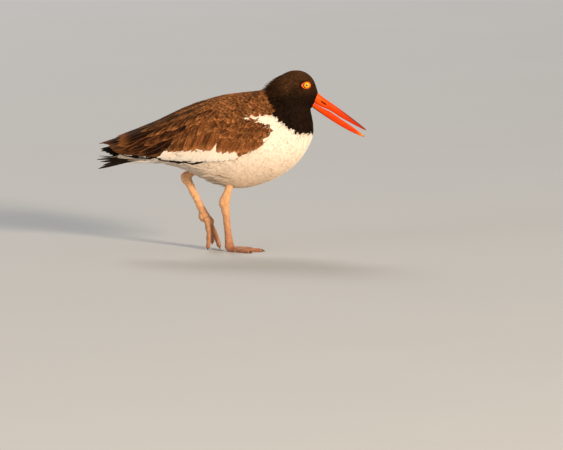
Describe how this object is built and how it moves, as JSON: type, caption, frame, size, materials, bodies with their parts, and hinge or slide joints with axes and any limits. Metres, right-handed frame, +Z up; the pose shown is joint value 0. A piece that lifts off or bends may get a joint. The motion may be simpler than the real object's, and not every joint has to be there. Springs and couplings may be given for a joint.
{
  "type": "oystercatcher",
  "caption": "Life-size still model of an oystercatcher in mid step, with an open bill, folded wings and a short tail.",
  "frame": {"origin": "on the floor under the middle of the bounding box", "axes": "+X ahead, the way the bill points; +Y to the bird's left; +Z up"},
  "size_m": [0.3821, 0.1028, 0.2559],
  "materials": {
    "hood_feathers": "short dark brown-black feathers, soft and matt",
    "back_feathers": "warm brown feathers with paler edges, matt",
    "white_feathers": "soft warm white feathers, matt",
    "flight_feathers": "blackish flight and tail feathers with a slight sheen",
    "bill": "smooth horn, orange-red, browner along the top towards the tip",
    "lids": "bare orange-red skin",
    "eye": "wet and glossy, yellow iris round a black pupil",
    "leg_skin": "pale pinkish scaled skin, satin",
    "claw": "dark horn"
  },
  "bodies": {
    "root": {"torso": "white_feathers", "neck": "hood_feathers", "head": "hood_feathers", "bill_upper": "bill", "bill_lower": "bill", "tail": "flight_feathers", "wing_right": "back_feathers", "wing_left": "back_feathers", "lids_right": "lids", "eye_right": "eye", "thigh_right": "white_feathers", "shank_right": "leg_skin", "tarsus_right": "leg_skin", "toe_inner_right": "leg_skin", "claw_inner_right": "claw", "toe_middle_right": "leg_skin", "claw_middle_right": "claw", "toe_outer_right": "leg_skin", "claw_outer_right": "claw", "lids_left": "lids", "eye_left": "eye", "thigh_left": "white_feathers", "shank_left": "leg_skin", "tarsus_left": "leg_skin", "toe_inner_left": "leg_skin", "claw_inner_left": "claw", "toe_middle_left": "leg_skin", "claw_middle_left": "claw", "toe_outer_left": "leg_skin", "claw_outer_left": "claw"}
  },
  "joints": []
}
